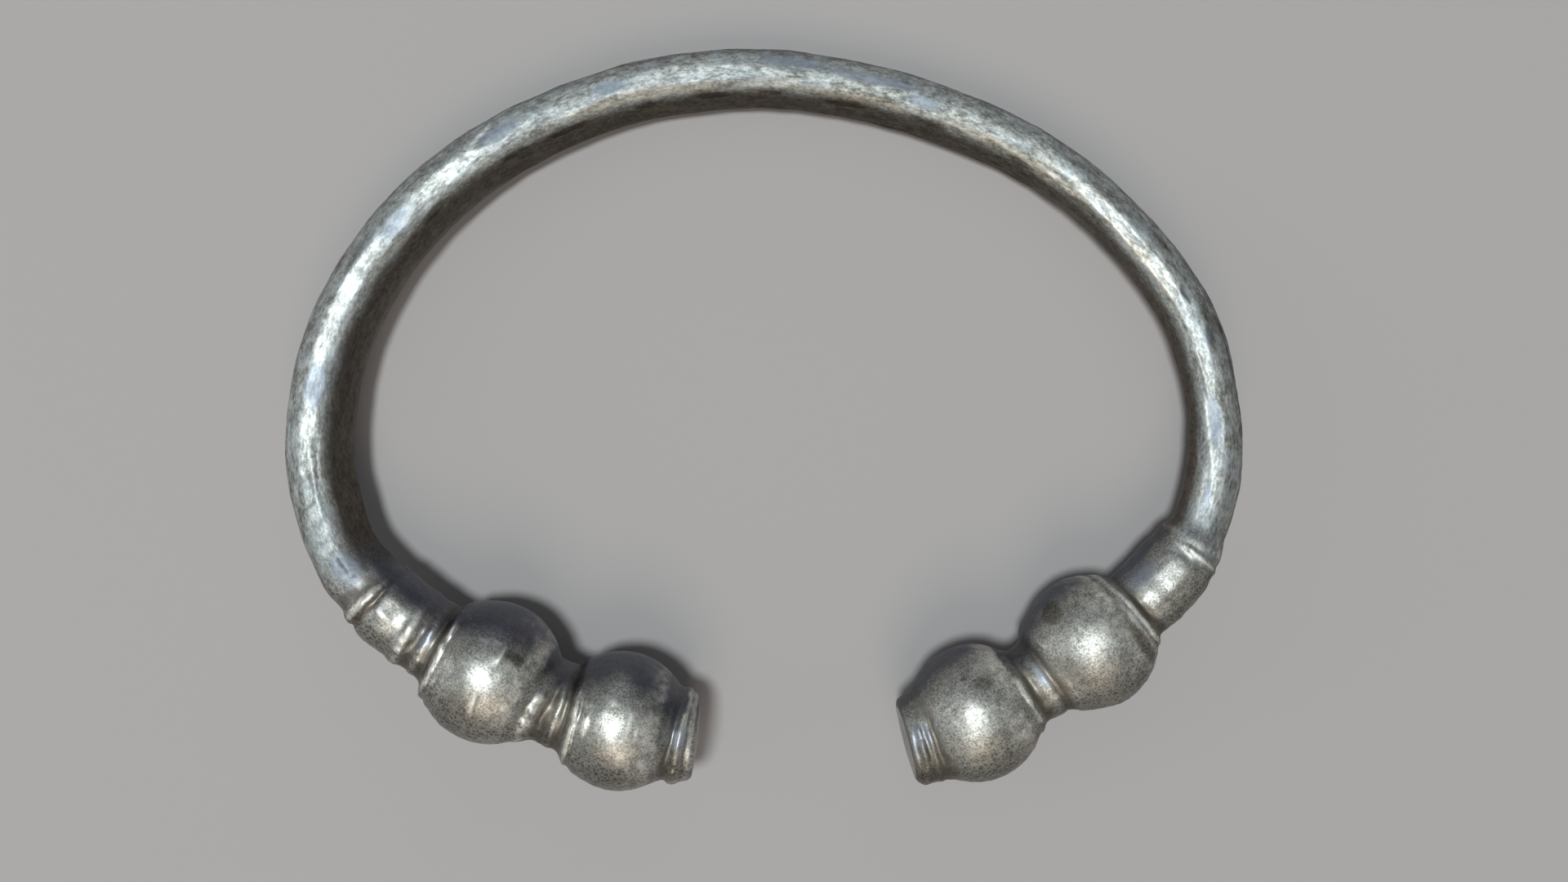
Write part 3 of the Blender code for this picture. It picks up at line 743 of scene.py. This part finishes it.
def facet_relief(place, around, radii, hoop_length):
    """How much the flat hammer facets take off the round bar."""
    out = np.zeros_like(radii)
    for middle, angle, half_length, depth in all_facets(hoop_length):
        run = (place / MM - middle) / half_length
        near = np.abs(run) < FACET_REACH
        turn = np.abs(turn_from(around, angle))
        side = turn < FACET_REACH_AROUND
        block = np.ix_(near, side)
        flat = (radii[block] - depth * MM * (1.0 - run[near, None] ** 2)) / np.cos(turn[side])[None, :]
        out[block] = soft_max(out[block], radii[block] - flat, FACET_SHARPNESS)
    return -out


def relief(place, around, radii, hoop_length):
    """Height of the worn and hammered surface over the plain one, and how pale or dark its marks are."""
    at = place[:, None] / MM
    on_hoop = share_on_hoop(place, hoop_length, RELIEF_PASSAGE)
    out = facet_relief(place, around, radii, hoop_length) * on_hoop
    for middle, direction, height, half_length in BAR_BENDS:
        out = out + height * MM * bump(at - middle, half_length) * np.cos(around - math.radians(direction))
    out = out + radii * np.radians(looked_up(SECTION_LEANS, at)) * 0.5 * np.sin(2.0 * around)
    for middle, depth, half_length in BAR_THIN_PLACES:
        out = out - depth * MM * bump(at - middle, half_length)
    coords = unbent(place, around, radii)
    streaks = smooth_noise(coords / np.array(STREAK_SIZE), STREAK_SEED)
    streaks = streaks * (STREAKS_ON_ENDS + (1.0 - STREAKS_ON_ENDS) * on_hoop)
    at_shoulder = bump(at - SHOULDER_PLACE, SHOULDER_HALF_LENGTH)
    out = out + STREAK_HEIGHT * streaks * (1.0 - STREAKS_WORN_AT_SHOULDER * at_shoulder)
    out = out + LUMP_HEIGHT * smooth_noise(coords / LUMP_SIZE, LUMP_SEED)
    grains = smooth_noise(coords / GRAIN_SIZE, GRAIN_SEED, GRAIN_WAVES)
    grains = grains * (1.0 - GRAINS_WORN_ON_HOOP * on_hoop)
    lower = smoothstep((GRAINY_BELOW - np.degrees(around)) / GRAINY_WIDTH) * (around < math.pi / 2)
    out = out + GRAIN_HEIGHT * (1.0 + lower) * grains
    marks, paleness = mark_relief(place, around, radii, coords)
    return out + marks, paleness


def mark_relief(place, around, radii, coords):
    """Height of the scratches, creases, crisp edges and pits, and how pale or dark the scratches are."""
    at = place[:, None] / MM
    out = np.zeros_like(radii)
    paleness = np.zeros_like(radii)
    ragged = smooth_noise(coords / RAGGED_SIZE, RAGGED_SEED)
    for start, start_angle, end, end_angle, half_width, height, pale in MARKS.values():
        middle = (start_angle + end_angle) / 2
        off = at[:, 0] - (start + end) / 2
        near = np.abs(off) < abs(end - start) / 2 + MARGIN_OF_MARKS
        bar = radii[near] / MM
        across = bar * turn_from(around, middle)
        run_across = bar.mean() * math.radians(end_angle - start_angle)
        run_along = end - start
        along = off[near, None]
        length = math.hypot(run_along, run_across)
        share = np.clip((along * run_along + across * run_across) / length ** 2, -0.5, 0.5)
        away = np.hypot(along - share * run_along, across - share * run_across)
        shape = bump(away, half_width) * (1.0 - (2.0 * np.abs(share)) ** TAPER_OF_MARKS)
        shape = shape * np.clip(1.0 + RAGGEDNESS_OF_MARKS * ragged[near], 0.0, MOST_OF_MARKS)
        out[near] += height * MM * shape
        paleness[near] += pale * shape
    for middle, angle, half_length, half_width, depth, rag in PITS.values():
        run = (at - middle) / half_length
        turn = np.degrees(turn_from(around, angle)) / half_width
        rim = 1.0 + rag * RAGGEDNESS_OF_PITS * ragged
        out = out - depth * MM * smoothstep((rim - np.hypot(run, turn)) / EDGE_OF_PITS)
    return out, paleness


def unbent(place, around, radii):
    """Where each point would be if the bracelet were straightened."""
    along = np.broadcast_to(place[:, None], radii.shape)
    return np.stack([along, radii * np.cos(around), radii * np.sin(around)], axis=2)


def faces_between(rings):
    """Faces from each ring of points to the next. The last ring may be a single point."""
    faces = []
    for ring, following in zip(rings, rings[1:]):
        for j in range(SIDES):
            k = (j + 1) % SIDES
            far = (following[k], following[j]) if len(following) == SIDES else (following[0],)
            faces.append((ring[j], ring[k]) + far)
    return faces


def bracelet_mesh():
    """Fine bracelet, with its wear on the surface, and values on its points that the silver reads."""
    around = np.linspace(0.0, 2 * math.pi, SIDES, endpoint=False)
    x, y, heading, radii, place, hoop_length = all_sections(around)
    plain = radii.copy()
    edge = np.minimum(place - place[0], place[-1] - place)
    heights, paleness = relief(place, around, radii, hoop_length)
    radii = radii + heights * smoothstep(edge / RELIEF_FADE_AT_ENDS)[:, None]

    out_x, out_y = -np.sin(heading), np.cos(heading)
    points = np.empty((len(x), SIDES, 3))
    points[:, :, 0] = x[:, None] + out_x[:, None] * radii * np.cos(around)
    points[:, :, 1] = y[:, None] + out_y[:, None] * radii * np.cos(around)
    points[:, :, 2] = radii * np.sin(around)
    flat = [points.reshape(-1, 3)]
    for row, sign in ((0, -1.0), (-1, 1.0)):
        centre = np.array([x[row], y[row], 0.0])
        outwards = sign * np.array([math.cos(heading[row]), math.sin(heading[row]), 0.0])
        for number in range(1, END_FACE_RINGS):
            share = 1.0 - number / END_FACE_RINGS
            dome = END_FACE_DOME * (1.0 - share * share)
            flat.append(centre + (points[row] - centre) * share + outwards * dome)
        flat.append((centre + outwards * END_FACE_DOME)[None, :])
    flat = np.concatenate(flat)
    placed = laid_down(flat)
    placed[:, 2] = np.maximum(placed[:, 2], 0.0)

    rows = [range(i * SIDES, (i + 1) * SIDES) for i in range(len(x))]
    faces = faces_between(rows)
    base = len(x) * SIDES
    for rim, turned in ((rows[0], True), (rows[-1], False)):
        cap = [rim] + [range(base + i * SIDES, base + (i + 1) * SIDES) for i in range(END_FACE_RINGS - 1)]
        tip = cap[-1].stop
        new = faces_between(cap + [[tip]])
        faces += [face[::-1] for face in new] if turned else new
        base = tip + 1

    mesh = bpy.data.meshes.new("silver_bracelet")
    mesh.from_pydata(placed.tolist(), [], faces)
    mesh.flip_normals()
    mesh.validate()
    mesh.shade_smooth()
    add_surface_values(mesh, place, around, radii, plain, paleness, hoop_length, flat)
    return mesh, placed


def blurred_along(values, place, half_width):
    """Average of each column over about the given distance along the bar."""
    even = np.arange(place[0], place[-1], BLUR_STEP)
    reach = BLUR_REACH * half_width
    weights = bump(np.arange(-reach, reach, BLUR_STEP), half_width)
    weights = weights / weights.sum()
    out = np.empty_like(values)
    pad = len(weights)
    for j in range(values.shape[1]):
        column = np.interp(even, place, values[:, j])
        padded = np.pad(column, pad, mode="edge")
        smooth = np.convolve(padded, weights, mode="same")[pad:-pad]
        out[:, j] = np.interp(place, even, smooth)
    return out


def add_surface_values(mesh, place, around, radii, plain, paleness, hoop_length, flat):
    """Stores what the silver reads: hollows, painted shade of the sides, lines, patches and the straightened
    place.
    """
    hollow = (blurred_along(radii, place, HOLLOW_REACH) - radii) / HOLLOW_DEPTH
    at = place[:, None] / MM
    degrees = np.degrees(around)
    on_hoop = share_on_hoop(place, hoop_length, LOOKS_PASSAGE)
    widths = SHADE_WIDTH_OF_ENDS + (SHADE_WIDTH_OF_HOOP - SHADE_WIDTH_OF_ENDS) * on_hoop
    shade = smoothstep((degrees - looked_up(SHADE_STARTS, at)) / widths)
    shade = shade * smoothstep((SHADE_END - degrees) / SHADE_END_WIDTH)
    outer_start = OUTER_START_OF_ENDS + (OUTER_START_OF_HOOP - OUTER_START_OF_ENDS) * on_hoop
    outer = smoothstep((np.cos(around) - outer_start) / OUTER_WIDTH)
    outer = outer * (1.0 - LEFT_SHEEN * bump(at - LEFT_SHEEN_PLACE, LEFT_SHEEN_HALF_LENGTH))
    coarse_side = np.cos(around - math.radians(COARSE_ANGLE))
    coarse = smoothstep((coarse_side - COARSE_START) / COARSE_WIDTH) * (1.0 - on_hoop)
    values = {"hollow": np.clip(hollow, -1.0, 1.0), "shade": shade, "outer": outer, "coarse": coarse}
    values["pale_line"] = np.clip(paleness, 0.0, 1.0)
    values["dark_line"] = np.clip(-paleness, 0.0, 1.0)
    for name, patches in PATCHES.items():
        value = np.zeros_like(radii)
        for middle, angle, half_length, half_width in patches:
            run = (at - middle) / half_length
            turn = np.degrees(turn_from(around, angle)) / half_width
            value = np.maximum(value, np.exp(-(run ** 2 + turn ** 2)))
        values[name] = value
    values["hoop"] = np.repeat(on_hoop, len(around), axis=1)
    values["dull"] = np.repeat(looked_up(DULL_PLACES, at), len(around), axis=1)
    for name, value in values.items():
        data = np.zeros(len(flat), np.float32)
        data[:value.size] = value.reshape(-1)
        mesh.attributes.new(name, "FLOAT", "POINT").data.foreach_set("value", data)
    drawn_out = risen(place, 1.0 - LOOKS_STRETCHED_ON_HOOP * on_hoop[:, 0])
    coords = unbent(drawn_out, around, plain).reshape(-1, 3) / MM
    data = flat / MM
    data[:len(coords)] = coords
    bar = mesh.attributes.new("bar", "FLOAT_VECTOR", "POINT")
    bar.data.foreach_set("vector", data.astype(np.float32).reshape(-1))


class Nodes:
    """Short ways to add shader nodes to one material. Its values are sockets, by their names in SUMS."""

    def __init__(self, name):
        self.values = {}
        self.material = bpy.data.materials.new(name)
        self.material.use_nodes = True
        self.tree = self.material.node_tree
        self.shader = self.tree.nodes["Principled BSDF"]

    def add(self, kind, inputs=None, **settings):
        node = self.tree.nodes.new("ShaderNode" + kind)
        for name, value in settings.items():
            setattr(node, name, value)
        for name, value in (inputs or {}).items():
            self.put(value, node.inputs[name])
        return node

    def put(self, value, socket):
        if isinstance(value, bpy.types.NodeSocket):
            self.tree.links.new(value, socket)
        else:
            socket.default_value = value

    def noise(self, vector, scale, detail, roughness, along=1.0):
        if along != 1.0:
            vector = self.add("Mapping", {"Vector": vector, "Scale": (along, 1.0, 1.0)}).outputs["Vector"]
        inputs = {"Vector": vector, "Scale": scale, "Detail": detail, "Roughness": roughness}
        return self.add("TexNoise", inputs).outputs["Fac"]

    def net(self, vector, scale, wobble, width):
        """Thin lines between many small uneven cells."""
        inputs = {"Vector": vector, "Scale": scale * UNEVENNESS_SCALE, "Detail": UNEVENNESS_DETAIL}
        shift = self.add("TexNoise", inputs).outputs["Color"]
        moved = self.add("VectorMath", operation="MULTIPLY_ADD")
        for value, socket in zip((shift, (wobble, wobble, wobble), vector), moved.inputs):
            self.put(value, socket)
        inputs = {"Vector": moved.outputs[0], "Scale": scale}
        edge = self.add("TexVoronoi", inputs, feature="DISTANCE_TO_EDGE").outputs["Distance"]
        return self.stretch(edge, 0.0, width, 1.0, 0.0)

    def stretch(self, value, low, high, to_low=0.0, to_high=1.0):
        inputs = {"Value": value, "From Min": low, "From Max": high, "To Min": to_low, "To Max": to_high}
        return self.add("MapRange", inputs, interpolation_type="SMOOTHSTEP").outputs["Result"]

    def step(self, name, value=None):
        """0 to 1 as the value given, or the sum of this name, goes between the values of its step."""
        return self.stretch(value or self.total(name), *STEPS[name])

    def maths(self, operation, *values):
        node = self.add("Math", operation=operation)
        for value, socket in zip(values, node.inputs):
            self.put(value, socket)
        return node.outputs[0]

    def times(self, a, b):
        return self.maths("MULTIPLY", a, b)

    def mix(self, share, a, b, blend_type="MIX"):
        inputs = {"Factor": share, "A": a, "B": b}
        return self.add("Mix", inputs, data_type="RGBA", blend_type=blend_type).outputs["Result"]

    def tint(self, share, colour, tint):
        return self.mix(share, colour, tint, "MULTIPLY")

    def total(self, name):
        weights = dict(SUMS[name])
        out = weights.pop("start", 0.0)
        for value, weight in weights.items():
            out = self.maths("MULTIPLY_ADD", self.values[value], weight, out)
        return out

    def even(self, weights):
        """Sum of noises, each less its middle value and times its weights on the ends and on the hoop."""
        out = NOISE_MIDDLE
        for name, (middle, on_ends, on_hoop) in weights.items():
            weight = self.maths("MULTIPLY_ADD", self.values["hoop"], on_hoop - on_ends, on_ends)
            out = self.maths("MULTIPLY_ADD", self.maths("SUBTRACT", self.values[name], middle), weight, out)
        return out

    def attribute(self, name, output="Fac"):
        return self.add("Attribute", attribute_name=name).outputs[output]


def silver():
    """Worn silver: fine speckle, smooth hollows and patches, pale crests; painted blue reflection, sheen,
    warm glow and side shade.
    """
    n = Nodes("tarnished_silver")
    v = n.values
    for name in ("hoop", "dull", "hollow", "shade", "polish", "beige", "tarnish"):
        v[name] = n.attribute(name)
    bar = n.attribute("bar", "Vector")
    for name, settings in NOISES.items():
        v[name] = n.noise(bar, *settings)
    for name, settings in NETS.items():
        v[name] = n.net(bar, *settings)
    v["crackle"] = n.times(n.maths("SUBTRACT", v["crackle"], CRACKLE_MIDDLE), n.attribute("coarse"))
    elsewhere = n.add("Mapping", {"Vector": bar, "Location": SHEEN_SHIFT}).outputs["Vector"]
    v["sheen"] = n.noise(elsewhere, *SHEEN_NOISE)

    # Where the wrist side is painted dark, as painted shade and partly tarnish, and where it is smooth:
    # polished patches and hollows
    v["ragged"] = n.times(n.maths("SUBTRACT", v["mottle"], NOISE_MIDDLE), RAGGEDNESS)
    v["crest"] = n.times(n.step("crest"), n.total("crest shown"))
    v["shade edge"] = n.even(SHADE_EDGE_WEIGHTS)
    side = n.times(n.step("side"), n.step("side begins", v["shade"]))
    side = n.times(side, n.total("side shown"))
    smooth_side = n.times(n.step("smooth side", side), n.total("smooth side shown"))
    smooth = n.maths("MAXIMUM", n.step("smooth patch"), n.step("smooth hollow"))
    v["smooth"] = n.maths("MAXIMUM", smooth, smooth_side)

    # Speckle, painted bluish sheen and pale crests
    tone = n.even(TONE_WEIGHTS)
    v["pale"] = n.step("pale", tone)
    v["gloss"] = n.step("gloss")
    colour = n.mix(v["pale"], DARK_TARNISH, PALE_SILVER)
    colour = n.mix(n.times(v["gloss"], n.total("painted sheen shown")), colour, PAINTED_BLUE_SHEEN)
    colour = n.mix(v["crest"], colour, n.mix(n.step("pale crest", tone), CREST_LOW, CREST_HIGH))

    # Polish with its painted blue reflection, warm patches with a painted warm glow, then tarnish and painted
    # shade over it
    polish = n.mix(n.step("brown"), BLUE_REFLECTION_ON_POLISH, GREY_POLISH)
    colour = n.mix(n.times(v["smooth"], POLISH_SHOWN), colour, polish)
    colour = n.tint(1.0, colour, n.mix(v["hoop"], TINT_OF_ENDS, TINT_OF_HOOP))
    # Painted warm glow of the front light, partly cream deposit
    colour = n.tint(n.times(n.step("warm"), n.total("warm shown")), colour, BEIGE_AND_WARM_GLOW_TINT)
    low = n.maths("MAXIMUM", n.step("deep hollow", v["hollow"]), n.step("spots"))
    colour = n.tint(n.times(low, HOLLOW_TINT_SHOWN), colour, HOLLOW_TINT)
    # Painted shade on the outer side
    colour = n.tint(n.attribute("outer"), colour, OUTER_SHADE_TINT)
    # Painted shade on the wrist side, partly tarnish
    colour = n.tint(side, colour, n.mix(v["hoop"], WRIST_SHADE_OF_ENDS, WRIST_SHADE_OF_HOOP))
    colour = n.mix(n.attribute("pale_line"), colour, PALE_LINE)
    colour = n.tint(n.attribute("dark_line"), colour, DARK_LINE_TINT)

    v["speckle roughness"] = n.stretch(v["pale"], 0.0, 1.0, ROUGHNESS_WHERE_DARK, ROUGHNESS_WHERE_PALE)
    height = n.times(n.total("bump"), n.total("bump shown"))
    inputs = {"Height": height, "Strength": BUMP_STRENGTH, "Distance": BUMP_DISTANCE}
    looks = {
        "Base Color": colour,
        "Metallic": n.total("metallic"),
        "Roughness": n.total("roughness"),
        "Normal": n.add("Bump", inputs).outputs["Normal"],
        "Specular Tint": SPECULAR_TINT,
        "Coat Weight": n.total("coat"),
        "Coat Roughness": COAT_ROUGHNESS,
    }
    for name, value in looks.items():
        n.put(value, n.shader.inputs[name])
    return n.material


def in_scene(name, data):
    """A new object in the scene."""
    added = bpy.data.objects.new(name, data)
    bpy.context.scene.collection.objects.link(added)
    return added


def bracelet():
    mesh, placed = bracelet_mesh()
    low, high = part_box("bracelet")
    piece = in_scene("silver_bracelet", mesh)
    middle = (placed.min(axis=0) + placed.max(axis=0)) / 2
    want = (np.array(low) + np.array(high)) / 2
    mesh.transform(Matrix.Translation((want[0] - middle[0], want[1] - middle[1], 0.0)))
    mesh.materials.append(silver())
    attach(piece, "root")
    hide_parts("bracelet")


def floor():
    mesh = bpy.data.meshes.new("floor")
    corners = [(-1, -1, 0), (1, -1, 0), (1, 1, 0), (-1, 1, 0)]
    mesh.from_pydata([(x * FLOOR_REACH, y * FLOOR_REACH, z) for x, y, z in corners], [], [(0, 1, 2, 3)])
    piece = in_scene("floor", mesh)
    n = Nodes("pale_floor")
    n.put(FLOOR_COLOUR, n.shader.inputs["Base Color"])
    n.put(FLOOR_ROUGHNESS, n.shader.inputs["Roughness"])
    mesh.materials.append(n.material)


def area_light(name, direction, distance, size, power, colour):
    """A round soft light that shines on the bracelet from a direction."""
    light = bpy.data.lights.new(name, "AREA")
    light.shape = "DISK"
    light.size = size
    light.energy = power
    light.color = colour
    lamp = in_scene(name, light)
    way = Vector(direction).normalized()
    lamp.location = way * distance
    lamp.rotation_euler = way.to_track_quat("Z", "Y").to_euler()


def studio():
    world = bpy.data.worlds.new("studio")
    world.use_nodes = True
    background = world.node_tree.nodes["Background"]
    background.inputs["Color"].default_value = SURROUNDINGS_COLOUR
    background.inputs["Strength"].default_value = SURROUNDINGS_STRENGTH
    bpy.context.scene.world = world
    for name, values in LIGHTS.items():
        area_light(name, *values)
    bpy.context.scene.view_settings.view_transform = "Standard"


def camera():
    """Looks down on the bracelet as the photograph does."""
    back = Vector((
        -math.sin(CAMERA_TO_LEFT),
        math.sin(CAMERA_TO_BACK) * math.cos(CAMERA_TO_LEFT),
        math.cos(CAMERA_TO_LEFT) * math.cos(CAMERA_TO_BACK),
    )).normalized()
    level_right = Vector((0.0, 1.0, 0.0)).cross(back).normalized()
    level_up = back.cross(level_right)
    right = level_right * math.cos(CAMERA_ROLL) + level_up * math.sin(CAMERA_ROLL)
    up = level_up * math.cos(CAMERA_ROLL) - level_right * math.sin(CAMERA_ROLL)
    data = bpy.data.cameras.new("camera")
    data.lens = CAMERA_LENS
    data.clip_start = CAMERA_CLIP_START
    eye = in_scene("camera", data)
    turned = Matrix((right, up, back)).transposed().to_4x4()
    eye.matrix_world = Matrix.Translation(CAMERA_TARGET + back * CAMERA_DISTANCE) @ turned
    bpy.context.scene.camera = eye


camera()
bracelet()
floor()
studio()
